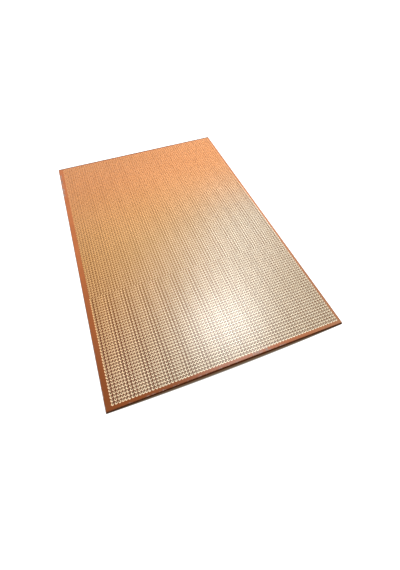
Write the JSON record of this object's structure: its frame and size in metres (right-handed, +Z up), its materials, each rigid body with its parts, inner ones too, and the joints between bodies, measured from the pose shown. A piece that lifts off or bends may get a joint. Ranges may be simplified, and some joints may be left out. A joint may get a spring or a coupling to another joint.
{
  "type": "perforated prototype board",
  "caption": "Bare perforated prototype board: a flat brown laminate sheet with a full grid of plain holes for component leads, each with a round copper pad on one side.",
  "frame": {"origin": "middle of the underside, the plain side that lies on the floor", "axes": "+Z up out of the copper side, +Y along the board's length to the far end, +X across it"},
  "size_m": [0.2, 0.3, 0.0016],
  "materials": {
    "laminate": "gloss"
  },
  "bodies": {
    "root": {"board_strip_01": "laminate", "board_strip_02": "laminate", "board_strip_03": "laminate", "board_strip_04": "laminate", "board_strip_05": "laminate", "board_strip_06": "laminate", "board_strip_07": "laminate", "board_strip_08": "laminate", "board_strip_09": "laminate", "board_strip_10": "laminate", "board_strip_11": "laminate", "board_strip_12": "laminate", "board_strip_13": "laminate", "board_strip_14": "laminate", "board_strip_15": "laminate", "board_strip_16": "laminate", "board_strip_17": "laminate", "board_strip_18": "laminate", "board_strip_19": "laminate", "board_strip_20": "laminate", "board_strip_21": "laminate", "board_strip_22": "laminate", "board_strip_23": "laminate", "board_strip_24": "laminate"}
  },
  "joints": []
}
